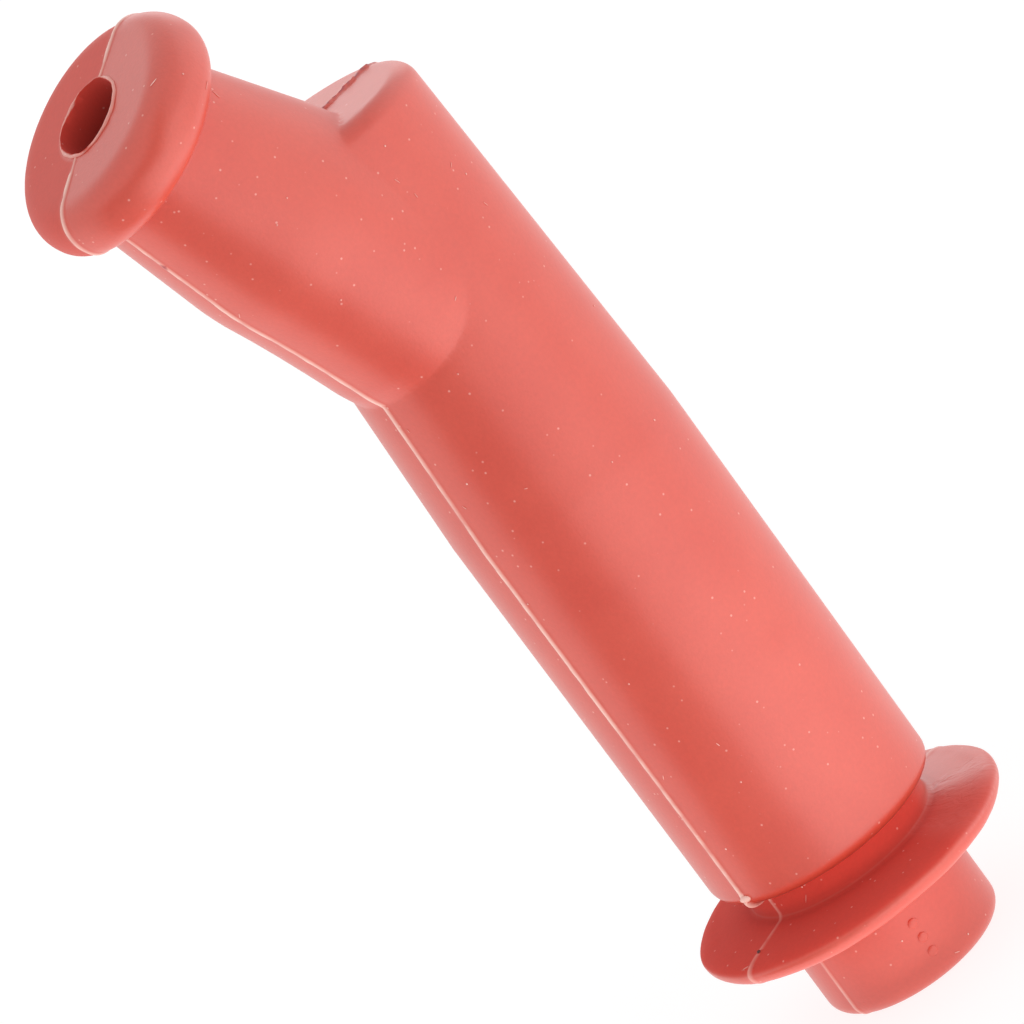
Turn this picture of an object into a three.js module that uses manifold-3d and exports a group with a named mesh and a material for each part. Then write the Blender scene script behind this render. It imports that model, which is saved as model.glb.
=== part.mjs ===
import * as THREE from 'three';
import { mergeVertices } from 'three/addons/utils/BufferGeometryUtils.js';
import Module from 'manifold-3d';

// Angled spark plug cap, moulded as one piece of silicone rubber.
// It stands on its plug end. Z runs up the barrel, and the neck leans towards +X.
// All sizes are in millimetres and degrees.

// Passage: insulator socket, terminal chamber and wire bore
const socketRadius = 4.8;
const socketDepth = 41;
const socketChamfer = 0.4;
const chamberRadius = 4.1;
const chamberTaper = 1.4;
const chamberRoof = 1.2;
const wireRadius = 3.25;
const wireClearance = 0.6;

// Plug end, the part below the lip
const stubWall = 3.4;
const stubEdge = 1.5;
const stubLength = 8.9;

// Sealing lip and the groove above it
const lipReach = 5.8;
const lipThickness = 2.8;
const lipDish = 0.3;
const grooveStep = 0.4;
const grooveWidth = 2.2;

// Barrel
const barrelWall = 5.8;
const barrelEdge = 1.4;
const barrelDraft = 0.15;
const barrelWaist = 37.4;
const capWall = 5.1;
const capEdge = 1.7;
const heelHeight = 18.2;

// Neck and wire head
const bendAngle = 27.5;
const bendHeight = 68;
const neckWall = 6.15;
const neckLength = 16.9;
const neckEase = 4;
const taperLength = 12.8;
const tipWall = 4.3;
const headReach = 2.5;
const headThickness = 5.1;
const headEdge = 2.6;
const headBackEdge = 2.1;

// Flash left where the two halves of the mould met, all along the middle plane
const flashHeight = 0.12;
const flashWidth = 0.3;

// Number of flat sides that stand for a round
const barrelSides = 64;
const neckSides = 56;
const boreSides = 40;
const edgeSteps = 5;

// Sizes that follow from the ones above
const stubRadius = socketRadius + stubWall;
const grooveRadius = stubRadius + grooveStep;
const lipRadius = grooveRadius + lipReach;
const lipTop = stubLength + lipThickness;
const barrelFoot = lipTop + grooveWidth;
const barrelRadius = socketRadius + barrelWall;
const capRadius = chamberRadius + capWall;
const capTop = bendHeight + heelHeight;
const neckRadius = wireRadius + neckWall;
const tipRadius = wireRadius + tipWall;
const headRadius = tipRadius + headReach;
const headBack = neckLength + taperLength;
const headFace = headBack + headThickness;
const bend = THREE.MathUtils.degToRad(bendAngle);

const manifold = await Module();
manifold.setup();

function toSolid(geometry) {
  const shape = geometry.index ? geometry.toNonIndexed() : geometry.clone();
  shape.deleteAttribute('normal');
  shape.deleteAttribute('uv');
  const merged = mergeVertices(shape, 1e-4);
  return new manifold.Manifold(new manifold.Mesh({
    numProp: 3,
    vertProperties: new Float32Array(merged.attributes.position.array),
    triVerts: new Uint32Array(merged.index.array),
  }));
}

function toGeometry(solid) {
  const mesh = solid.getMesh();
  const geometry = new THREE.BufferGeometry();
  geometry.setAttribute('position', new THREE.BufferAttribute(mesh.vertProperties, mesh.numProp));
  geometry.setIndex(new THREE.BufferAttribute(mesh.triVerts, 1));
  geometry.computeVertexNormals();
  return geometry;
}

// A round body about Z. The profile is a list of [radius, height] from the axis back to the axis, lowest first.
function turned(profile, sides) {
  const points = profile.map(([radius, height]) => new THREE.Vector2(Math.max(radius, 0), height));
  const geometry = new THREE.LatheGeometry(points, sides);
  geometry.rotateX(Math.PI / 2);
  return geometry;
}

// Points of an arc in a profile, about a centre, from one angle to another. Angle 0 points away from the axis.
function arc(radius, height, size, fromAngle, toAngle, steps = edgeSteps) {
  const points = [];
  for (let step = 0; step <= steps; step += 1) {
    const angle = THREE.MathUtils.degToRad(fromAngle + (toAngle - fromAngle) * step / steps);
    points.push([radius + size * Math.cos(angle), height + size * Math.sin(angle)]);
  }
  return points;
}

// Leans what is built about Z over to the neck's axis, which crosses the barrel's axis at the bend.
function leanOver(geometry) {
  geometry.rotateY(bend);
  geometry.translate(0, 0, bendHeight);
  return geometry;
}

// Plug end, lip, groove and barrel in one turned body. The growth stands out from the skin, for the flash.
function barrelBody(growth) {
  const rim = lipThickness / 2;
  const barrelFootRadius = barrelRadius - barrelDraft;
  return turned([
    [0, 0],
    ...arc(stubRadius - stubEdge, stubEdge, stubEdge + growth, -90, 0),
    [stubRadius + growth, stubLength - growth],
    ...arc(lipRadius - rim, stubLength + rim, rim + growth, -90, 90, edgeSteps * 2),
    [grooveRadius + growth, lipTop - lipDish + growth],
    [grooveRadius + growth, barrelFoot - growth],
    ...arc(barrelFootRadius - barrelEdge, barrelFoot + barrelEdge, barrelEdge + growth, -90, 0),
    [barrelRadius + growth, barrelFoot + barrelWaist],
    ...arc(capRadius - capEdge, capTop - capEdge, capEdge + growth, 0, 90),
    [0, capTop + growth],
  ], barrelSides);
}

// The neck starts inside the barrel as a cylinder, eases into a cone and ends in the rolled wire head.
function neckBody(growth) {
  const taper = (neckRadius - tipRadius) / taperLength;
  const easeStart = neckLength - neckEase / 2;
  const ease = [];
  for (let step = 0; step <= edgeSteps; step += 1) {
    const along = neckEase * step / edgeSteps;
    ease.push([neckRadius + growth - taper * along * along / (2 * neckEase), easeStart + along]);
  }
  return leanOver(turned([
    [0, 0],
    [neckRadius + growth, 0],
    ...ease,
    [tipRadius + growth, headBack - growth],
    ...arc(headRadius - headBackEdge, headBack + headBackEdge, headBackEdge + growth, -90, 0),
    ...arc(headRadius - headEdge, headFace - headEdge, headEdge + growth, 0, 90),
    [0, headFace + growth],
  ], neckSides));
}

function outerBody(growth) {
  return toSolid(barrelBody(growth)).add(toSolid(neckBody(growth)));
}

// The slab that cuts the flash out of a slightly grown body. It keeps clear of the standing face.
function flashSlab() {
  const reach = 2 * (capTop + headFace);
  const slab = new THREE.BoxGeometry(reach, flashWidth, reach);
  slab.translate(0, 0, reach / 2);
  return toSolid(slab);
}

// The socket grips the plug's insulator, and the chamber above it holds the wire's terminal.
function plugPassage() {
  const chamberTop = bendHeight + wireRadius * Math.sin(bend) + chamberRoof;
  return toSolid(turned([
    [0, -socketChamfer],
    [socketRadius + 2 * socketChamfer, -socketChamfer],
    [socketRadius, socketChamfer],
    [socketRadius, socketDepth],
    [chamberRadius, socketDepth + chamberTaper],
    [chamberRadius, chamberTop],
    [0, chamberTop],
  ], boreSides));
}

// The wire bore runs from the middle of the chamber out through the face of the head.
function wirePassage() {
  const wireEnd = headFace + flashHeight + wireClearance;
  return toSolid(leanOver(turned([
    [0, 0],
    [wireRadius, 0],
    [wireRadius, wireEnd],
    [0, wireEnd],
  ], boreSides)));
}

function boot() {
  const flash = outerBody(flashHeight).intersect(flashSlab());
  const solid = outerBody(0).add(flash).subtract(plugPassage()).subtract(wirePassage());
  const rubber = new THREE.MeshStandardMaterial({ color: 0xde6a58, roughness: 0.55, metalness: 0 });
  const mesh = new THREE.Mesh(toGeometry(solid), rubber);
  mesh.name = 'boot';
  return mesh;
}

// The origin is at the middle of the footprint, level with the standing face.
function centred(mesh) {
  mesh.geometry.computeBoundingBox();
  const middle = mesh.geometry.boundingBox.getCenter(new THREE.Vector3());
  mesh.position.x = -middle.x;
  return mesh;
}

const sparkPlugCap = new THREE.Group();
sparkPlugCap.add(centred(boot()));

export default sparkPlugCap;
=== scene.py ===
import bpy
import math
from mathutils import Matrix, Vector, noise
from mathutils.kdtree import KDTree


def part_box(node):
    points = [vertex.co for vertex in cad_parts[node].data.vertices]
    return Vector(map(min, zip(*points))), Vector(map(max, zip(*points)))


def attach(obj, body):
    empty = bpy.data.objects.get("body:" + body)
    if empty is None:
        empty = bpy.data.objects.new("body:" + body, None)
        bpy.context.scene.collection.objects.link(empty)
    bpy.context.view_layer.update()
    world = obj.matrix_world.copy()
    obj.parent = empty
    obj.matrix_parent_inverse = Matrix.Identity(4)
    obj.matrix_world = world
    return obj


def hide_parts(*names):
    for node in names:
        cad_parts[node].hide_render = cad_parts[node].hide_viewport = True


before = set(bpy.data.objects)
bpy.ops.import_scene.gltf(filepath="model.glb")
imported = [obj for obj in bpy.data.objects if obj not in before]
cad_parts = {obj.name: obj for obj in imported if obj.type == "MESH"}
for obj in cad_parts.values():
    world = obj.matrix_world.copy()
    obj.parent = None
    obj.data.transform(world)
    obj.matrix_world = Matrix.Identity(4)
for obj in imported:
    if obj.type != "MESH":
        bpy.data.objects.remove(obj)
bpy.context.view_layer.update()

mm = 0.001


# Small helpers

def selectOnly(piece):
    bpy.ops.object.select_all(action="DESELECT")
    piece.select_set(True)
    bpy.context.view_layer.objects.active = piece


def applyPlace(piece):
    selectOnly(piece)
    bpy.ops.object.transform_apply(location=True, rotation=True, scale=True)


def applyBoolean(piece, tool, operation):
    selectOnly(piece)
    cut = piece.modifiers.new(operation.lower(), "BOOLEAN")
    cut.operation = operation
    cut.solver = "EXACT"
    cut.object = tool
    bpy.ops.object.modifier_apply(modifier=cut.name)
    bpy.data.objects.remove(tool)


def linearColour(hexCode):
    channels = [int(hexCode[i:i + 2], 16) / 255 for i in (1, 3, 5)]
    return [c / 12.92 if c <= 0.04045 else ((c + 0.055) / 1.055) ** 2.4 for c in channels] + [1.0]


def emptyMaterial(name):
    material = bpy.data.materials.new(name)
    material.use_nodes = True
    material.node_tree.nodes.clear()
    return material


def addNode(tree, kind, settings=None, links=None):
    node = tree.nodes.new(kind)
    for name, value in (settings or {}).items():
        if hasattr(node, name):
            setattr(node, name, value)
        else:
            node.inputs[name].default_value = value
    for name, source in (links or {}).items():
        tree.links.new(source, node.inputs[name])
    return node


# The camera. It stands where the photograph was taken from, with places and distances in mm
view = {
    "azimuth": 55.736, "elevation": 16.044, "roll": -36.503, "distance": 563.862,
    "target": (1.455, 0.0, 51.932), "lens": 250.0, "sensor": 36.0, "pixels": 1024,
}


def direction(azimuth, elevation):
    az, el = math.radians(azimuth), math.radians(elevation)
    return Vector((math.cos(el) * math.cos(az), math.cos(el) * math.sin(az), math.sin(el)))


def viewMatrix():
    away = direction(view["azimuth"], view["elevation"])
    right = Vector((0, 0, 1)).cross(away).normalized()
    up = away.cross(right)
    roll = math.radians(view["roll"])
    across = right * math.cos(roll) + up * math.sin(roll)
    upward = up * math.cos(roll) - right * math.sin(roll)
    place = (Vector(view["target"]) + away * view["distance"]) * mm
    return Matrix((
        (across.x, upward.x, away.x, place.x),
        (across.y, upward.y, away.y, place.y),
        (across.z, upward.z, away.z, place.z),
        (0, 0, 0, 1)))


# The point of the skin under a pixel of the photograph, and the skin's normal there
def skinUnder(piece, pixel):
    middle = view["pixels"] / 2
    sight = Vector((pixel[0] - middle, middle - pixel[1], -view["pixels"] * view["lens"] / view["sensor"]))
    ahead = (viewMatrix().to_3x3() @ sight).normalized()
    found, point, normal, face = piece.ray_cast(viewMatrix().translation, ahead)
    return point, normal


# Profiles are lists of (radius, height) in mm, lowest first

def arcRings(radius, height, size, fromAngle, toAngle, steps):
    rings = []
    for step in range(steps + 1):
        angle = math.radians(fromAngle + (toAngle - fromAngle) * step / steps)
        rings.append((radius + size * math.cos(angle), height + size * math.sin(angle)))
    return rings


def straightRings(start, end, spacing):
    length = math.dist(start, end)
    steps = max(1, round(length / spacing))
    return [(start[0] + (end[0] - start[0]) * step / steps,
             start[1] + (end[1] - start[1]) * step / steps) for step in range(1, steps)]


# Ring by ring, each one pulled up out of the last and scaled, as on a lathe
def turnUp(name, rings, sides):
    radius, height = rings[0]
    bpy.ops.object.select_all(action="DESELECT")
    bpy.ops.mesh.primitive_circle_add(vertices=sides, radius=radius * mm, fill_type="NGON",
                                      location=(0, 0, height * mm))
    piece = bpy.context.object
    piece.name = name
    applyPlace(piece)
    bpy.ops.object.mode_set(mode="EDIT")
    bpy.ops.mesh.select_mode(type="FACE")
    bpy.ops.mesh.select_all(action="SELECT")
    for nextRadius, nextHeight in rings[1:]:
        rise = (0, 0, (nextHeight - height) * mm)
        bpy.ops.mesh.extrude_region_move(TRANSFORM_OT_translate={"value": rise})
        scale = nextRadius / radius
        bpy.ops.transform.resize(value=(scale, scale, 1), center_override=(0, 0, nextHeight * mm))
        radius, height = nextRadius, nextHeight
    bpy.ops.mesh.select_all(action="SELECT")
    bpy.ops.mesh.normals_make_consistent(inside=False)
    bpy.ops.object.mode_set(mode="OBJECT")
    return piece


# The cap, one moulding. Sizes in mm and degrees, as measured on the frame
cap = {
    "stubRadius": 8.2, "stubEdge": 1.5, "stubLength": 8.9,
    "cadLipReach": 14.52,  # from the barrel's axis to the solid's box
    "lipRadius": 14.5, "lipThickness": 2.8, "lipDish": 0.3, "lipUnderside": 13.0,
    "lipShoulder": (12.6, 11.0), "rimHeight": 10.15, "lipFillet": 0.6,
    "lipWave": 0.12, "lipShift": (0.12, -0.09),
    "lipStill": 0.8,  # so far out from the groove the lip stays flat
    "grooveRadius": 8.6, "grooveWidth": 2.2, "rootFillet": 0.25,
    "barrelRadius": 10.73, "barrelEdge": 1.4, "barrelDraft": 0.15, "barrelWaist": 37.4,
    "capRadius": 9.35, "capEdge": 1.7, "capTop": 86.2,
    "bendAngle": 27.5, "bendHeight": 68.0,
    "neckRadius": 9.4, "neckLength": 16.9, "neckEase": 4.0, "taperLength": 12.8, "tipRadius": 7.48,
    # under the neck: how much it flares, where along the neck, how it fades there and round the neck
    "rootFlare": 0.65, "flareEnd": 15.0, "flareStart": 4.5, "flareCurve": 1.5, "flareCut": 0.1,
    "softFrom": 73.0,  # above this height the crease under the neck turns soft
    "creaseReach": 1.5, "creaseRounds": 12, "lowCreaseReach": 0.4, "lowCreaseRounds": 2,
    "headRadius": 10.09, "headThickness": 5.22, "headEdge": 2.9, "headBackEdge": 2.1,
    "halfStep": 0.45, "halfStepSpan": 1.0,  # the head's far half sits in at the top, to 1 radian from it
    "dullHalf": 0.45,  # that half is duller too, and painted a more shaded red
    "flashHeight": 0.13, "flashHalfWidth": 0.2, "flashCrest": 0.11,
    "capFlash": 0.17, "footFlash": 0.3, "footFlashReach": 1.2, "thinFlash": 0.5,
    "flashLeast": 0.02, "flashShift": 0.03,
    "nub": (0.5, 0.62, 0.32), "nubRise": 1.15, "nubBump": 0.1,
    "pipRadius": 0.45, "pipRise": 0.14, "pipHeight": 4.15, "pipSpacing": 1.45, "pipAngle": 63.1,
    "socketRadius": 4.8, "socketDepth": 41.0, "chamberRadius": 4.1, "chamberTop": 70.7,
    "socketFillet": 0.4, "chamberTaper": 1.4, "chamberEdge": 1.0,
    "wireRadius": 3.25, "boreWander": 0.3,
    "beadOffset": 0.1, "beadSize": 0.18, "beadSwell": 0.6, "beadShift": 0.08,
    "shadeDepth": 9.0,  # how far in the passage the painted shade is at its darkest
    "ringSpacing": 0.5, "barrelSides": 160, "neckSides": 144, "boreSides": 96,
}

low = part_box("boot")[0]
axisX = low.x / mm + cap["cadLipReach"]
bend = math.radians(cap["bendAngle"])
lipTop = cap["stubLength"] + cap["lipThickness"]
barrelFoot = lipTop + cap["grooveWidth"]
waistHeight = barrelFoot + cap["barrelWaist"]
headBack = cap["neckLength"] + cap["taperLength"]
headFace = headBack + cap["headThickness"]
neckTaper = (cap["neckRadius"] - cap["tipRadius"]) / cap["taperLength"]
easeStart = cap["neckLength"] - cap["neckEase"] / 2


# The neck is drawn upright and then leant over
def leanMatrix():
    place = Matrix.Translation(Vector((axisX * mm, 0, cap["bendHeight"] * mm)))
    return place @ Matrix.Rotation(bend, 4, "Y")


# Radius and distance along the neck, in mm
def onNeck(point):
    lean = leanMatrix().inverted() @ point
    return math.hypot(lean.x, lean.y) / mm, lean.z / mm


def sideOf(point):
    lean = leanMatrix().inverted() @ point
    return Vector((lean.x, lean.y, 0)).normalized()


# A smooth unevenness from -1 to 1, with swells of the given size in mm
def wander(point, size, shift=0.0):
    return noise.noise(Vector(((point.x / mm + shift) / size, point.y / mm / size, point.z / mm / size)))


def barrelRadiusAt(height):
    share = (height - waistHeight) / (cap["capTop"] - cap["capEdge"] - waistHeight)
    return cap["barrelRadius"] + (cap["capRadius"] - cap["barrelRadius"]) * min(1.0, max(0.0, share))


# The wire bore is not quite round
def boreRadiusAt(side):
    return cap["wireRadius"] + cap["boreWander"] * wander(side * cap["wireRadius"] * mm, 2.2, 11.0)


def ellipseRings(radius, height, reach, rise, fromAngle, toAngle, steps):
    return [(radius + (r - radius) * reach, height + (h - height) * rise)
            for r, h in arcRings(radius, height, 1, fromAngle, toAngle, steps)]


def barrelRings():
    fillet = cap["rootFillet"]
    footRadius = cap["barrelRadius"] - cap["barrelDraft"]
    rings = [(5.5, 0.0)]
    rings += arcRings(cap["stubRadius"] - cap["stubEdge"], cap["stubEdge"], cap["stubEdge"], -90, 0, 10)
    rings += straightRings(rings[-1], (cap["stubRadius"], cap["stubLength"] - fillet), cap["ringSpacing"])
    rings += arcRings(cap["stubRadius"] + fillet, cap["stubLength"] - fillet, -fillet, 0, -90, 4)
    rings += straightRings(rings[-1], (cap["lipUnderside"], cap["stubLength"]), cap["ringSpacing"])
    rings += ellipseRings(cap["lipUnderside"], cap["rimHeight"], cap["lipRadius"] - cap["lipUnderside"],
                          cap["rimHeight"] - cap["stubLength"], -90, 0, 10)
    shoulder, shoulderHeight = cap["lipShoulder"]
    rings += ellipseRings(shoulder, cap["rimHeight"], cap["lipRadius"] - shoulder,
                          shoulderHeight - cap["rimHeight"], 0, 90, 12)[1:]
    root = lipTop - cap["lipDish"]
    turn = cap["lipFillet"]
    rings += straightRings(rings[-1], (cap["grooveRadius"] + turn, root), cap["ringSpacing"])
    rings += arcRings(cap["grooveRadius"] + turn, root + turn, turn, -90, -180, 7)
    rings += straightRings(rings[-1], (cap["grooveRadius"], barrelFoot - fillet), cap["ringSpacing"])
    rings += arcRings(cap["grooveRadius"] + fillet, barrelFoot - fillet, fillet, 180, 90, 4)
    rings += arcRings(footRadius - cap["barrelEdge"], barrelFoot + cap["barrelEdge"],
                      cap["barrelEdge"], -90, 0, 10)[1:]
    rings += straightRings(rings[-1], (cap["barrelRadius"], waistHeight), cap["ringSpacing"])
    rings += [(cap["barrelRadius"], waistHeight)]
    rings += straightRings(rings[-1], (cap["capRadius"], cap["capTop"] - cap["capEdge"]),
                           cap["ringSpacing"])
    rings += arcRings(cap["capRadius"] - cap["capEdge"], cap["capTop"] - cap["capEdge"],
                      cap["capEdge"], 0, 90, 12)
    rings += straightRings(rings[-1], (0.3, cap["capTop"]), 0.3)
    return rings


def neckRings():
    rings = [(cap["neckRadius"], 0.0)]
    rings += straightRings(rings[-1], (cap["neckRadius"], easeStart), cap["ringSpacing"])
    for step in range(11):
        along = cap["neckEase"] * step / 10
        shrink = neckTaper * along * along / (2 * cap["neckEase"])
        rings.append((cap["neckRadius"] - shrink, easeStart + along))
    fillet = cap["rootFillet"]
    rings += straightRings(rings[-1], (cap["tipRadius"], headBack - fillet), cap["ringSpacing"])
    rings += arcRings(cap["tipRadius"] + fillet, headBack - fillet, fillet, 180, 90, 4)
    rings += arcRings(cap["headRadius"] - cap["headBackEdge"], headBack + cap["headBackEdge"],
                      cap["headBackEdge"], -90, 0, 14)
    rings += arcRings(cap["headRadius"] - cap["headEdge"], headFace - cap["headEdge"],
                      cap["headEdge"], 0, 90, 16)
    rings += straightRings(rings[-1], (0.5, headFace), 0.3)
    return rings


def buildOutside():
    barrel = turnUp("moulded_boot", barrelRings(), cap["barrelSides"])
    barrel.data.transform(Matrix.Translation(Vector((axisX * mm, 0, 0))))
    neck = turnUp("neck", neckRings(), cap["neckSides"])
    # on its underside the neck flares a little where it runs into the barrel
    span = (cap["flareEnd"] - cap["flareStart"]) * mm
    for vertex in neck.data.vertices:
        share = min(1.0, max(0.0, (cap["flareEnd"] * mm - vertex.co.z) / span))
        side = Vector((vertex.co.x, vertex.co.y, 0)).normalized()
        under = max(0.0, (1 + cap["flareCut"]) * side.x - cap["flareCut"])
        vertex.co += side * cap["rootFlare"] * under * share ** cap["flareCurve"] * mm
    neck.data.transform(leanMatrix())
    applyBoolean(barrel, neck, "UNION")
    return barrel


# The mould has no sharp inside corner: the crease between barrel and neck is soft on top, tighter below
def softenCrease(piece, fromHeight, toHeight, reach, rounds):
    selectOnly(piece)
    bpy.ops.object.mode_set(mode="EDIT")
    bpy.ops.mesh.select_mode(type="VERT")
    bpy.ops.mesh.select_all(action="DESELECT")
    bpy.ops.object.mode_set(mode="OBJECT")
    for vertex in piece.data.vertices:
        point = vertex.co / mm
        radius, along = onNeck(vertex.co)
        offBarrel = math.hypot(point.x - axisX, point.y) - barrelRadiusAt(point.z)
        offBarrel = max(offBarrel, point.z - cap["capTop"])
        offNeck = max(radius - cap["neckRadius"] - 0.3, 1.0 - along)
        nearBoth = abs(offBarrel) < reach and abs(offNeck) < reach
        vertex.select = nearBoth and fromHeight <= point.z < toHeight
    bpy.ops.object.mode_set(mode="EDIT")
    bpy.ops.mesh.vertices_smooth(factor=0.5, repeat=rounds)
    bpy.ops.object.mode_set(mode="OBJECT")


def buildPassage():
    fillet = cap["socketFillet"]
    edge = cap["chamberEdge"]
    socket = [(cap["socketRadius"] + fillet, -1.0)]
    socket += arcRings(cap["socketRadius"] + fillet, fillet, -fillet, 90, 0, 5)
    socket += straightRings(socket[-1], (cap["socketRadius"], cap["socketDepth"]), 2.0)
    socket += [(cap["socketRadius"], cap["socketDepth"])]
    socket += [(cap["chamberRadius"], cap["socketDepth"] + cap["chamberTaper"])]
    socket += straightRings(socket[-1], (cap["chamberRadius"], cap["chamberTop"] - edge), 2.0)
    socket += arcRings(cap["chamberRadius"] - edge, cap["chamberTop"] - edge, edge, 0, 90, 5)
    passage = turnUp("passage", socket, cap["boreSides"])
    passage.data.transform(Matrix.Translation(Vector((axisX * mm, 0, 0))))
    wire = [(cap["wireRadius"], 0.0)]
    wire += straightRings(wire[-1], (cap["wireRadius"], headFace + 1), 0.8)
    wire += [(cap["wireRadius"], headFace + 1)]
    bore = turnUp("bore", wire, cap["boreSides"])
    for vertex in bore.data.vertices:
        side = Vector((vertex.co.x, vertex.co.y, 0)).normalized()
        vertex.co += side * (boreRadiusAt(side) - cap["wireRadius"]) * mm
    bore.data.transform(leanMatrix())
    applyBoolean(passage, bore, "UNION")
    return passage


# A thin bead of flash stands round the mouth of the wire bore
def buildBead():
    bpy.ops.object.select_all(action="DESELECT")
    bpy.ops.mesh.primitive_torus_add(major_segments=120, minor_segments=16,
                                     major_radius=(cap["wireRadius"] + cap["beadOffset"]) * mm,
                                     minor_radius=cap["beadSize"] * mm, location=(0, 0, headFace * mm))
    bead = bpy.context.object
    applyPlace(bead)
    for vertex in bead.data.vertices:
        rise = vertex.co.z - headFace * mm
        vertex.co.z += rise * cap["beadSwell"] * wander(vertex.co, 0.9, 6.0)
        vertex.co.x += cap["beadShift"] * wander(vertex.co, 0.8, 2.0) * mm
        vertex.co.y += cap["beadShift"] * wander(vertex.co, 0.8, 7.0) * mm
    bead.data.transform(leanMatrix())
    return bead


# The two halves of the mould met at y = 0, so the seam is a narrow band there
def cutSeamBand(piece):
    selectOnly(piece)
    bpy.ops.object.mode_set(mode="EDIT")
    half, crest = cap["flashHalfWidth"], cap["flashCrest"]
    for offset in (-half, -crest, crest, half):
        bpy.ops.mesh.select_all(action="SELECT")
        bpy.ops.mesh.bisect(plane_co=(0, offset * mm, 0), plane_no=(0, 1, 0))
    bpy.ops.mesh.select_all(action="SELECT")
    bpy.ops.mesh.remove_doubles(threshold=0.02 * mm)
    bpy.ops.object.mode_set(mode="OBJECT")


def flashHeightAt(point):
    height = cap["flashHeight"] * (0.85 + 0.5 * wander(point, 1.1, 3.0) + 0.4 * wander(point, 6.0, 9.0))
    radius, along = onNeck(point)
    onCapTop = point.z / mm > cap["capTop"] - 0.4 and along < 25 and point.x / mm < axisX + 5.5
    if onCapTop:
        height = cap["capFlash"] * (1.0 + 0.9 * wander(point, 0.45, 5.0))
    footReach = abs(point.z / mm - barrelFoot - 0.5)
    if point.x / mm > axisX and footReach < cap["footFlashReach"]:
        height += cap["footFlash"] * (1 - footReach / cap["footFlashReach"])
    if point.z / mm < barrelFoot:
        height *= cap["thinFlash"]
    return max(height, cap["flashLeast"])


def raiseSeam(piece):
    mesh = piece.data
    # this attribute paints a pale highlight along the crest of the flash
    seam_highlight = mesh.attributes.new("seam_highlight", "FLOAT", "POINT")
    lifts = []
    for vertex in mesh.vertices:
        point = vertex.co
        if abs(point.y) < (cap["flashCrest"] + 0.02) * mm and point.z > 0.05 * mm:
            lifts.append((vertex.index, vertex.normal.copy(), flashHeightAt(point)))
    for index, direction, height in lifts:
        vertex = mesh.vertices[index]
        vertex.co += direction * height * mm
        vertex.co.y += cap["flashShift"] * mm * wander(vertex.co, 0.7, 2.0)
        seam_highlight.data[index].value = min(1.0, height / cap["flashHeight"])


# The lip is thin and a little uneven, the ring round the wire bore more so
def unevenEdges(piece):
    lipStart = cap["grooveRadius"] + cap["lipStill"]
    for vertex in piece.data.vertices:
        point = vertex.co
        around = math.hypot(point.x / mm - axisX, point.y / mm)
        if cap["stubLength"] - 0.3 < point.z / mm < lipTop + 0.3 and around > lipStart:
            share = (around - lipStart) / (cap["lipRadius"] - lipStart)
            point.z += cap["lipWave"] * share * wander(point, 5.0, 4.0) * mm
            point.z += 0.25 * cap["lipWave"] * share * wander(point, 1.6, 8.0) * mm
            point.x += cap["lipShift"][0] * share * mm
            point.y += cap["lipShift"][1] * share * mm
        radius, along = onNeck(point)
        # the two halves of the head don't quite meet at the top
        if along > headBack + 0.5 and radius > cap["wireRadius"] + 1 and point.y < -0.1 * mm:
            lean = leanMatrix().inverted() @ point
            angle = math.atan2(-lean.y, -lean.x)
            if lean.x < 0 and angle < cap["halfStepSpan"]:
                outward = (radius - cap["wireRadius"] - 1) / 6.0
                inward = cap["halfStep"] * (1 - angle / cap["halfStepSpan"]) * outward
                point += leanMatrix().to_3x3() @ Vector((inward * mm, 0, 0))


def addPips(piece):
    for step in range(3):
        height = cap["pipHeight"] + (step - 1) * cap["pipSpacing"]
        angle = math.radians(cap["pipAngle"])
        across = cap["stubRadius"] * math.cos(angle)
        place = (axisX + across, cap["stubRadius"] * math.sin(angle), height)
        bpy.ops.object.select_all(action="DESELECT")
        bpy.ops.mesh.primitive_uv_sphere_add(segments=24, ring_count=12, radius=cap["pipRadius"] * mm,
                                             location=[value * mm for value in place])
        pip = bpy.context.object
        pip.scale = (cap["pipRise"] / cap["pipRadius"], 1, 1)
        pip.rotation_euler = (0, 0, angle)
        applyPlace(pip)
        applyBoolean(piece, pip, "UNION")


# A thick end of flash hangs where the seam leaves the barrel's foot
def buildNub():
    bpy.ops.object.select_all(action="DESELECT")
    bpy.ops.mesh.primitive_ico_sphere_add(subdivisions=4, radius=mm, location=(0, 0, 0))
    nub = bpy.context.object
    nub.scale = cap["nub"]
    nub.location = nubPlace()
    applyPlace(nub)
    for vertex in nub.data.vertices:
        outward = (vertex.co - nubPlace()).normalized()
        vertex.co += cap["nubBump"] * mm * wander(vertex.co, 0.5, 1.0) * outward
    return nub


def nubPlace():
    x = (axisX + cap["barrelRadius"] - 0.25) * mm
    return Vector((x, 0.25 * mm, (barrelFoot + cap["nubRise"]) * mm))
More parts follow.
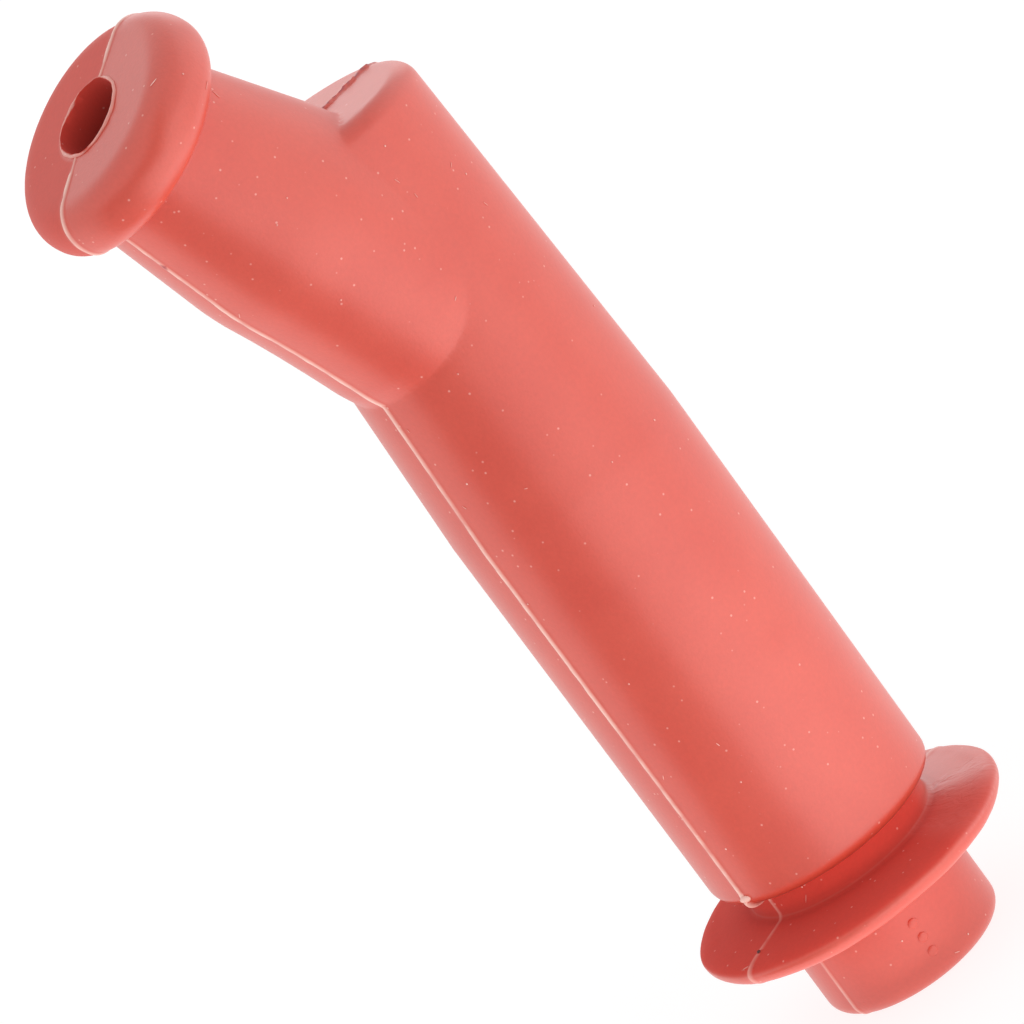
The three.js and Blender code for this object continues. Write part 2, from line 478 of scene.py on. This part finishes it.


# Lint and dust that cling to the rubber, sizes in mm. Their places are given as pixels of the photograph:
# the two ends of a fibre, or the middle of a speck, each with its paleness
lint = {
    "width": 0.09, "fibreWidth": 0.045, "rise": 0.045, "sink": 0.012, "reach": 0.2,
    "fibres": [
        ((150, 87), (157, 78), 1.0),
        ((212, 91), (220, 98), 0.5),
        ((207, 81), (206, 90), 0.35),
        ((462, 506), (467, 509), 0.6),
        ((451, 162), (451, 168), 0.4),
        ((716, 743), (720, 746), 0.7),
        ((456, 296), (455, 301), 0.6),
        ((524, 489), (528, 488), 0.5),
        ((239, 313), (240, 318), 0.6),
        ((663, 775), (664, 780), 0.6),
        ((806, 894), (806, 903), 0.4),
        ((954, 953), (960, 951), 0.6),
        ((483, 202), (488, 206), 0.4),
        ((394, 179), (400, 183), 0.4),
        ((414, 193), (418, 198), 0.35),
        ((407, 429), (410, 433), 0.45),
        ((743, 970), (749, 966), 0.5),
    ],
    "dots": [
        ((726, 849), 1.0),
        ((467, 484), 1.0),
        ((466, 174), 0.6),
        ((341, 300), 0.5),
        ((385, 146), 0.7),
        ((594, 306), 0.5),
        ((902, 941), 0.7),
        ((654, 420), 0.6),
        ((277, 225), 0.4),
        ((183, 74), 0.5),
        ((741, 782), 0.6),
        ((528, 604), 0.6),
        ((968, 934), 0.7),
        ((287, 198), 0.4),
        ((802, 887), 0.7),
        ((629, 684), 0.6),
        ((612, 462), 0.4),
        ((458, 374), 0.4),
    ],
    "dirt": [((759, 952), 0.17)],
}


def addLint(piece):
    pieces = []
    marks = []
    entries = [(first, last, lint["fibreWidth"] * mm, pale) for first, last, pale in lint["fibres"]]
    entries += [(spot, spot, lint["width"] * mm, pale) for spot, pale in lint["dots"]]
    for first, last, width, pale in entries:
        point, normal = skinUnder(piece, (Vector(first) + Vector(last)) / 2)
        span = skinUnder(piece, last)[0] - skinUnder(piece, first)[0]
        span -= normal * normal.dot(span)
        half = max(lint["width"] * mm, span.length / 2)
        along = span.normalized() if span.length else normal.orthogonal().normalized()
        side = normal.cross(along)
        bpy.ops.mesh.primitive_ico_sphere_add(subdivisions=2, radius=1.0, location=(0, 0, 0))
        speck = bpy.context.object
        turn = Matrix((along * half, side * width, normal * lint["rise"] * mm)).transposed().to_4x4()
        point = point + normal * lint["sink"] * mm
        speck.data.transform(Matrix.Translation(point) @ turn)
        pieces.append(speck)
        marks.append((point, normal, along * half, pale))
    for spot, size in lint["dirt"]:
        point, normal = skinUnder(piece, spot)
        bpy.ops.mesh.primitive_ico_sphere_add(subdivisions=2, radius=size * mm, location=point)
        pieces.append(bpy.context.object)
        applyPlace(pieces[-1])
        marks.append((point, normal, Vector((0, 0, 0)), -1.0))
    bpy.ops.object.select_all(action="DESELECT")
    for speck in pieces:
        speck.select_set(True)
    bpy.context.view_layer.objects.active = pieces[0]
    bpy.ops.object.join()
    applyBoolean(piece, pieces[0], "UNION")
    return marks


# The unions and cuts leave a few slivers without area, and faces that lie back to back
def dropSlivers(piece):
    selectOnly(piece)
    bpy.ops.object.mode_set(mode="EDIT")
    bpy.ops.mesh.select_mode(type="FACE")
    bpy.ops.mesh.select_all(action="SELECT")
    bpy.ops.mesh.dissolve_degenerate(threshold=0.003 * mm)
    bpy.ops.mesh.quads_convert_to_tris()
    bpy.ops.mesh.select_all(action="DESELECT")
    bpy.ops.object.mode_set(mode="OBJECT")
    corners = {}
    for face in piece.data.polygons:
        corners.setdefault(tuple(sorted(face.vertices)), []).append(face)
    for doubled in corners.values():
        for face in doubled:
            face.select = len(doubled) > 1
    bpy.ops.object.mode_set(mode="EDIT")
    bpy.ops.mesh.delete(type="ONLY_FACE")
    bpy.ops.mesh.select_all(action="SELECT")
    bpy.ops.mesh.delete_loose(use_verts=True, use_edges=True, use_faces=False)
    bpy.ops.object.mode_set(mode="OBJECT")


# Where the surface differs, and where shade and highlights are painted on: angles round the barrel in
# degrees, reaches in mm, strengths from 0 to 1
wearAndPaintedLight = {
    "wrinkleAngle": 118, "wrinkleSpan": 32, "wrinkleShare": 0.4,
    "mattAngle": 12, "mattSpan": 124, "mattFade": 26,
    "footShade": 0.35, "footShadeReach": 0.7, "rootShade": 0.2, "rootShadeReach": 1.1,
    "beadHighlight": 0.45,
}


# Tells the material where the surface is pale with lint or with the seam's painted highlight, dark with
# dirt, matt and painted a shaded red, wrinkled, or darkened as painted shade on the torn flash, inside the
# passage, under the barrel's foot and at the lip's root
def paintMarks(piece, marks):
    mesh = piece.data
    for name in ("lint", "dirt", "wrinkled", "matt", "inside", "torn_flash_shade"):
        mesh.attributes.new(name, "FLOAT", "POINT")
    seam_highlight, pale, dark, wrinkled = [mesh.attributes[name] for name in ("seam_highlight", "lint", "dirt", "wrinkled")]
    matt, inside, torn_flash_shade = [mesh.attributes[name] for name in ("matt", "inside", "torn_flash_shade")]
    tree = KDTree(len(mesh.vertices))
    for vertex in mesh.vertices:
        tree.insert(vertex.co, vertex.index)
    tree.balance()
    for point, normal, along, strength in marks:
        for share in (-0.8, -0.4, 0.0, 0.4, 0.8):
            for place, index, distance in tree.find_range(point + along * share, lint["reach"] * mm):
                if (place - point).dot(normal) > 0.1 * lint["rise"] * mm:
                    target = pale if strength > 0 else dark
                    target.data[index].value = max(target.data[index].value, abs(strength))
    # the nub of flash gets the same painted highlight
    for place, index, distance in tree.find_range(nubPlace(), 0.75 * mm):
        radius = math.hypot(place.x / mm - axisX, place.y / mm)
        if radius > cap["barrelRadius"] - cap["barrelDraft"] + 0.05:
            seam_highlight.data[index].value = 1.0
    for vertex in mesh.vertices:
        x, y, z = vertex.co.x / mm - axisX, vertex.co.y / mm, vertex.co.z / mm
        if lipTop - 1.6 < z < lipTop + 0.5 and math.hypot(x, y) > cap["grooveRadius"] + 0.1:
            away = abs(math.degrees(math.atan2(y, x)) - wearAndPaintedLight["wrinkleAngle"]) / wearAndPaintedLight["wrinkleSpan"]
            wrinkled.data[vertex.index].value = max(0.0, min(wearAndPaintedLight["wrinkleShare"], 1.2 * (1 - away)))
        if lipTop - 2.4 < z < barrelFoot + 0.1 and math.hypot(x, y) > cap["socketRadius"] + 0.3:
            away = abs((math.degrees(math.atan2(y, x)) - wearAndPaintedLight["mattAngle"] + 180) % 360 - 180)
            upward = max(0.0, min(1.0, (vertex.normal.z - 0.3) / 0.45)) if z < lipTop else 1.0
            dull = max(0.0, min(1.0, (wearAndPaintedLight["mattSpan"] - away) / wearAndPaintedLight["mattFade"]))
            matt.data[vertex.index].value = dull * upward
        radius, along = onNeck(vertex.co)
        if along > headBack + 1 and radius > cap["wireRadius"] + 0.5:
            matt.data[vertex.index].value = cap["dullHalf"] * min(1.0, max(0.0, (-y - 0.15) / 0.3))
        inWire = radius < boreRadiusAt(sideOf(vertex.co)) + 0.03 and 0 < along
        inSocket = math.hypot(x, y) < cap["socketRadius"] + 0.02 and z < cap["chamberTop"] + 0.1
        # inside the passage the colour is darkened as painted shade, the more the deeper in
        if inWire or inSocket:
            depth = headFace - along if inWire else z
            inside.data[vertex.index].value = max(0.0, min(1.0, depth / cap["shadeDepth"]))
            matt.data[vertex.index].value = 1.0
            seam_highlight.data[vertex.index].value = 0.0
        else:
            # painted shade darkens the barrel's foot edge and the root of the lip
            outward = math.hypot(x, y)
            fromRoot = math.dist((outward, z), (cap["grooveRadius"], lipTop - cap["lipDish"]))
            paintedShade = wearAndPaintedLight["rootShade"] * (1 - fromRoot / wearAndPaintedLight["rootShadeReach"])
            if outward > cap["grooveRadius"] + 0.5:
                fromEdge = abs(z - barrelFoot - 0.2)
                paintedShade = max(paintedShade, wearAndPaintedLight["footShade"] * (1 - fromEdge / wearAndPaintedLight["footShadeReach"]))
            if z > cap["stubLength"] + 1:
                inside.data[vertex.index].value = max(0.0, paintedShade)
        # the torn flash on the cap's top is painted darker: painted shade on the side of its ridge
        if z > cap["capTop"] - 0.2 and seam_highlight.data[vertex.index].value > 0 and along < 25:
            torn_flash_shade.data[vertex.index].value = 1.0 if wander(vertex.co, 0.35, 13.0) > -0.12 else 0.0
            seam_highlight.data[vertex.index].value = 0.0
    # and so does the bead round the mouth of the bore, as a painted highlight
    centre = leanMatrix() @ Vector((0, 0, headFace * mm))
    for place, index, distance in tree.find_range(centre, (cap["wireRadius"] + 1) * mm):
        radius, along = onNeck(place)
        onBead = boreRadiusAt(sideOf(place)) + 0.04 < radius < cap["wireRadius"] + 0.6
        if onBead and along > headFace + 0.04:
            share = min(wearAndPaintedLight["beadHighlight"], (along - headFace) / 0.2)
            seam_highlight.data[index].value = max(seam_highlight.data[index].value, share)


print("turning the barrel and the neck")
boot = buildOutside()
softenCrease(boot, 20, cap["softFrom"], cap["lowCreaseReach"], cap["lowCreaseRounds"])
softenCrease(boot, cap["softFrom"], 100, cap["creaseReach"], cap["creaseRounds"])
print("raising the seam that the mould left")
cutSeamBand(boot)
raiseSeam(boot)
unevenEdges(boot)
applyBoolean(boot, buildNub(), "UNION")
applyBoolean(boot, buildBead(), "UNION")
print("cutting the passage")
passage = buildPassage()
applyBoolean(boot, passage, "DIFFERENCE")
addPips(boot)
print("laying on the lint")
marks = addLint(boot)
dropSlivers(boot)
paintMarks(boot, marks)
selectOnly(boot)
bpy.ops.object.shade_smooth_by_angle(angle=math.radians(50))
print("boot", len(boot.data.vertices), "points", len(boot.data.polygons), "faces")


# Moulded silicone rubber, satin and a little milky: light sinks in and comes back redder,
# and dust and lint cling to it
rubber = {
    "colour": "#D74D3A", "deepColour": "#D24634", "tornShadeColour": "#A8323A", "recessShadeColour": "#4E0A08",
    "shadedColour": "#D83928", "seamHighlightColour": "#FAC4B6", "lintColour": "#F6C4B8",
    "dirtColour": "#4A2018", "bloomColour": "#DC6258",
    "roughness": 0.37, "ior": 1.5, "specular": 1.0, "scatter": 0.03, "scatterScale": 0.0008,
    "mattRoughness": 0.95, "fineSize": 0.35, "fineDepth": 0.035,
    "mottleSize": 7.0, "grainSize": 0.22, "grainDepth": 0.012,
    "speckSpacing": 1.25, "speckSize": 0.125, "speckPaleness": 0.42,
    "wrinkleWidth": 1.2, "wrinkleDepth": 0.4, "wrinkleStretch": 90.0, "wrinkleRadius": 13.0,
}


def mixColour(tree, share, under, over):
    mix = addNode(tree, "ShaderNodeMix", {"data_type": "RGBA"})
    for socket, value in ((mix.inputs[0], share), (mix.inputs[6], under), (mix.inputs[7], over)):
        if isinstance(value, str):
            socket.default_value = linearColour(value)
        else:
            tree.links.new(value, socket)
    return mix.outputs[2]


def buildRubber():
    material = emptyMaterial("moulded_silicone_rubber")
    tree = material.node_tree
    place = addNode(tree, "ShaderNodeTexCoord").outputs["Object"]
    # clouds a few millimetres wide, where the pigment is a little deeper
    mottle = addNode(tree, "ShaderNodeTexNoise",
                     {"Scale": 1 / (rubber["mottleSize"] * mm), "Detail": 5.0, "Roughness": 0.55},
                     {"Vector": place})
    cloud = addNode(tree, "ShaderNodeMapRange", {"From Min": 0.3, "From Max": 0.7},
                    {"Value": mottle.outputs["Fac"]})
    colour = mixColour(tree, cloud.outputs["Result"], rubber["deepColour"], rubber["colour"])
    # where the rubber is matt it is also painted a deeper, shaded red: painted shade
    mattAndShade = addNode(tree, "ShaderNodeAttribute", {"attribute_name": "matt"})
    colour = mixColour(tree, mattAndShade.outputs["Fac"], colour, rubber["shadedColour"])
    # under that the finish of the mould, a faint shagreen of a third of a millimetre
    fine = addNode(tree, "ShaderNodeTexNoise", {"Scale": 1 / (rubber["fineSize"] * mm), "Detail": 3.0},
                   {"Vector": place})
    tone = addNode(tree, "ShaderNodeMapRange",
                   {"From Min": 0.25, "From Max": 0.75,
                    "To Min": 1 - rubber["fineDepth"], "To Max": 1 + rubber["fineDepth"]},
                   {"Value": fine.outputs["Fac"]})
    toned = addNode(tree, "ShaderNodeVectorMath", {"operation": "SCALE"},
                    {"Scale": tone.outputs["Result"]})
    tree.links.new(colour, toned.inputs[0])
    colour = toned.outputs[0]
    # pale dust, one speck in about three millimetres
    dust = addNode(tree, "ShaderNodeTexVoronoi", {"Scale": 1 / (rubber["speckSpacing"] * mm)},
                   {"Vector": place})
    reach = rubber["speckSize"] / rubber["speckSpacing"]
    speck = addNode(tree, "ShaderNodeMapRange",
                    {"From Min": reach, "From Max": reach * 0.4, "To Max": rubber["speckPaleness"]},
                    {"Value": dust.outputs["Distance"]})
    colour = mixColour(tree, speck.outputs["Result"], colour, rubber["lintColour"])
    # the seam tint is a painted highlight; the inside and torn tints are painted shade
    for name, tint in (("wrinkled", "bloomColour"), ("inside", "recessShadeColour"), ("seam_highlight", "seamHighlightColour"),
                       ("torn_flash_shade", "tornShadeColour"), ("lint", "lintColour"), ("dirt", "dirtColour")):
        mark = addNode(tree, "ShaderNodeAttribute", {"attribute_name": name})
        colour = mixColour(tree, mark.outputs["Fac"], colour, rubber[tint])
    # the lip's top and the passage came out of the mould matt
    roughness = addNode(tree, "ShaderNodeMapRange",
                        {"To Min": rubber["roughness"], "To Max": rubber["mattRoughness"]},
                        {"Value": mattAndShade.outputs["Fac"]})
    grain = addNode(tree, "ShaderNodeTexNoise", {"Scale": 1 / (rubber["grainSize"] * mm), "Detail": 2.0},
                    {"Vector": place})
    bump = addNode(tree, "ShaderNodeBump", {"Strength": 1.0, "Distance": rubber["grainDepth"] * mm},
                   {"Height": grain.outputs["Fac"]})
    # fine wrinkles on one side of the lip: noise by angle and distance from the axis
    apart = addNode(tree, "ShaderNodeVectorMath", {"operation": "SUBTRACT"})
    tree.links.new(place, apart.inputs[0])
    apart.inputs[1].default_value = (axisX * mm, 0, 0)
    split = addNode(tree, "ShaderNodeSeparateXYZ", {}, {"Vector": apart.outputs[0]})
    angle = addNode(tree, "ShaderNodeMath", {"operation": "ARCTAN2"})
    tree.links.new(split.outputs["Y"], angle.inputs[0])
    tree.links.new(split.outputs["X"], angle.inputs[1])
    outward = addNode(tree, "ShaderNodeVectorMath", {"operation": "LENGTH"})
    tree.links.new(apart.outputs[0], outward.inputs[0])
    polar = addNode(tree, "ShaderNodeCombineXYZ", {}, {"X": angle.outputs[0]})
    far = addNode(tree, "ShaderNodeMath", {"operation": "MULTIPLY"})
    tree.links.new(outward.outputs["Value"], far.inputs[0])
    far.inputs[1].default_value = rubber["wrinkleStretch"]
    tree.links.new(far.outputs[0], polar.inputs["Y"])
    folds = addNode(tree, "ShaderNodeTexNoise",
                    {"Scale": rubber["wrinkleRadius"] / rubber["wrinkleWidth"],
                     "Detail": 4.0, "Distortion": 0.9},
                    {"Vector": polar.outputs["Vector"]})
    where = addNode(tree, "ShaderNodeAttribute", {"attribute_name": "wrinkled"})
    bump = addNode(tree, "ShaderNodeBump", {"Distance": rubber["wrinkleDepth"] * mm},
                   {"Height": folds.outputs["Fac"], "Strength": where.outputs["Fac"],
                    "Normal": bump.outputs["Normal"]})
    shader = addNode(tree, "ShaderNodeBsdfPrincipled",
                     {"IOR": rubber["ior"],
                      "Specular IOR Level": rubber["specular"],
                      "Subsurface Weight": rubber["scatter"], "Subsurface Radius": (1.0, 0.35, 0.2),
                      "Subsurface Scale": rubber["scatterScale"]},
                     {"Base Color": colour, "Roughness": roughness.outputs["Result"],
                      "Normal": bump.outputs["Normal"]})
    addNode(tree, "ShaderNodeOutputMaterial", {}, {"Surface": shader.outputs["BSDF"]})
    return material


boot.data.materials.clear()
boot.data.materials.append(buildRubber())
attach(boot, "root")
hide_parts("boot")


# Light table, white surround, rows of windows, black cards and strips of light on the table
studio = {
    "tableSize": 6.0, "tableColour": "#7E7E7E", "tableGlow": 1.0, "tableSeen": 0.85, "ambient": 0.68,
    "cardColour": "#161616",
    # name, azimuth, start, length, near half width, far half width, height of the far end
    "cards": [
        ("black_card", 10.0, 0.024, 1.076, 0.02, 0.52, 0.42),
        ("lens_card", 46.0, 1.0, 0.1, 0.36, 0.36, 0.6),
        ("tall_card", 62.0, 1.05, 0.1, 0.22, 0.22, 2.4),
    ],
    "lamps": [
        # name, azimuth, elevation, distance, width, height, watts
        ("window_near", 90.0, 11.0, 0.9, 0.7, 0.35, 0.42),
        ("window_middle", 132.0, 11.0, 0.9, 0.65, 0.35, 0.3),
        ("window_far", 172.0, 11.0, 0.9, 0.6, 0.35, 0.26),
        ("window_high", 165.0, 36.0, 0.9, 1.0, 0.4, 0.45),
        ("back", 228.0, 16.0, 0.9, 0.6, 0.3, 0.5),
        ("left_high", 264.0, 38.0, 0.9, 0.6, 0.4, 0.32),
    ],
    "fills": [("fill", 30.0, 8.0, 0.9, 0.5, 0.4, 0.22)],
    # azimuth, from, to, width, watts, seen in reflections
    "panels": [
        (72.0, 0.04, 0.44, 0.11, 0.055, True),
        (96.0, 0.04, 0.44, 0.11, 0.045, True),
        (144.0, 0.04, 0.44, 0.11, 0.03, True),
        (50.0, 0.01, 0.05, 0.06, 0.0045, False),
        (46.0, 0.03, 0.2, 0.16, 0.02, False),
    ],
}

def buildTable():
    bpy.ops.object.select_all(action="DESELECT")
    bpy.ops.mesh.primitive_plane_add(size=studio["tableSize"], location=(0, 0, 0))
    table = bpy.context.object
    table.name = "light_table"
    material = emptyMaterial("white_acrylic_table")
    tree = material.node_tree
    sheet = addNode(tree, "ShaderNodeBsdfDiffuse", {"Color": linearColour(studio["tableColour"])})
    path = addNode(tree, "ShaderNodeLightPath")
    strength = addNode(tree, "ShaderNodeMapRange",
                       {"To Min": studio["tableGlow"], "To Max": studio["tableSeen"]},
                       {"Value": path.outputs["Is Camera Ray"]})
    glow = addNode(tree, "ShaderNodeEmission", {"Color": (1, 1, 1, 1)},
                   {"Strength": strength.outputs["Result"]})
    both = addNode(tree, "ShaderNodeAddShader")
    tree.links.new(sheet.outputs[0], both.inputs[0])
    tree.links.new(glow.outputs[0], both.inputs[1])
    addNode(tree, "ShaderNodeOutputMaterial", {}, {"Surface": both.outputs[0]})
    table.data.materials.append(material)


# Only reflections see the cards, which lie on the table and stand up at the far end
def buildCard(name, azimuth, start, length, nearHalf, farHalf, height):
    bpy.ops.object.select_all(action="DESELECT")
    bpy.ops.mesh.primitive_plane_add(size=1, location=(0, 0, 0))
    card = bpy.context.object
    card.name = name
    card.scale = (length, 2 * farHalf, 1)
    card.location = (start + length / 2, 0, 0.0005)
    applyPlace(card)
    for vertex in card.data.vertices:
        if vertex.co.x < start + length / 2:
            vertex.co.y *= nearHalf / farHalf
    bpy.ops.object.mode_set(mode="EDIT")
    bpy.ops.mesh.select_mode(type="EDGE")
    bpy.ops.mesh.select_all(action="DESELECT")
    bpy.ops.object.mode_set(mode="OBJECT")
    for edge in card.data.edges:
        edge.select = all(card.data.vertices[i].co.x > start + length / 2 for i in edge.vertices)
    bpy.ops.object.mode_set(mode="EDIT")
    bpy.ops.mesh.extrude_region_move(TRANSFORM_OT_translate={"value": (0, 0, height)})
    bpy.ops.object.mode_set(mode="OBJECT")
    card.rotation_euler = (0, 0, math.radians(azimuth))
    card.location = (axisX * mm, 0, 0)
    applyPlace(card)
    material = emptyMaterial(name)
    tree = material.node_tree
    matt = addNode(tree, "ShaderNodeBsdfDiffuse", {"Color": linearColour(studio["cardColour"])})
    addNode(tree, "ShaderNodeOutputMaterial", {}, {"Surface": matt.outputs[0]})
    card.data.materials.append(material)
    card.visible_camera = False
    card.visible_diffuse = False
    card.visible_shadow = False
    card.visible_transmission = False


def buildWorld():
    world = bpy.data.worlds.new("white_surround")
    bpy.context.scene.world = world
    world.use_nodes = True
    tree = world.node_tree
    tree.nodes.clear()
    path = addNode(tree, "ShaderNodeLightPath")
    seen = path.outputs["Is Camera Ray"]
    for ray in ("Is Glossy Ray", "Is Transmission Ray"):
        either = addNode(tree, "ShaderNodeMath", {"operation": "MAXIMUM"})
        tree.links.new(seen, either.inputs[0])
        tree.links.new(path.outputs[ray], either.inputs[1])
        seen = either.outputs[0]
    strength = addNode(tree, "ShaderNodeMapRange", {"To Min": studio["ambient"], "To Max": 1.0},
                       {"Value": seen})
    light = addNode(tree, "ShaderNodeBackground", {"Color": (1, 1, 1, 1)},
                    {"Strength": strength.outputs["Result"]})
    addNode(tree, "ShaderNodeOutputWorld", {}, {"Surface": light.outputs["Background"]})


def addLamp(name, width, height, watts, place, turn, glossy):
    data = bpy.data.lights.new(name, "AREA")
    data.shape = "RECTANGLE"
    data.size = width
    data.size_y = height
    data.energy = watts
    lamp = bpy.data.objects.new(name, data)
    bpy.context.collection.objects.link(lamp)
    lamp.location = place
    lamp.rotation_euler = turn
    lamp.visible_camera = False
    lamp.visible_glossy = glossy


def buildLamps():
    target = Vector(view["target"]) * mm
    # the fill stands on the camera's side and is polarised, so that it gives no highlight
    for group, glossy in (("lamps", True), ("fills", False)):
        for name, azimuth, elevation, distance, width, height, watts in studio[group]:
            away = direction(azimuth, elevation)
            turn = away.to_track_quat("Z", "Y").to_euler()
            addLamp(name, width, height, watts, target + away * distance, turn, glossy)
    # strips of light that lie on the table and face up
    for azimuth, start, end, width, watts, glossy in studio["panels"]:
        middle = direction(azimuth, 0) * (start + end) / 2 + Vector((axisX * mm, 0, 0.002))
        turn = Matrix.Rotation(math.radians(azimuth), 3, "Z") @ Matrix.Rotation(math.pi, 3, "Y")
        addLamp("strip", end - start, width, watts, middle, turn.to_euler(), glossy)


def buildCamera():
    data = bpy.data.cameras.new("camera")
    data.lens = view["lens"]
    data.sensor_width = view["sensor"]
    data.clip_start = 0.05
    camera = bpy.data.objects.new("camera", data)
    bpy.context.collection.objects.link(camera)
    camera.matrix_world = viewMatrix()
    bpy.context.scene.camera = camera


print("setting up the studio")
buildTable()
for card in studio["cards"]:
    buildCard(*card)
buildWorld()
buildLamps()
buildCamera()
bpy.context.scene.view_settings.view_transform = "Standard"
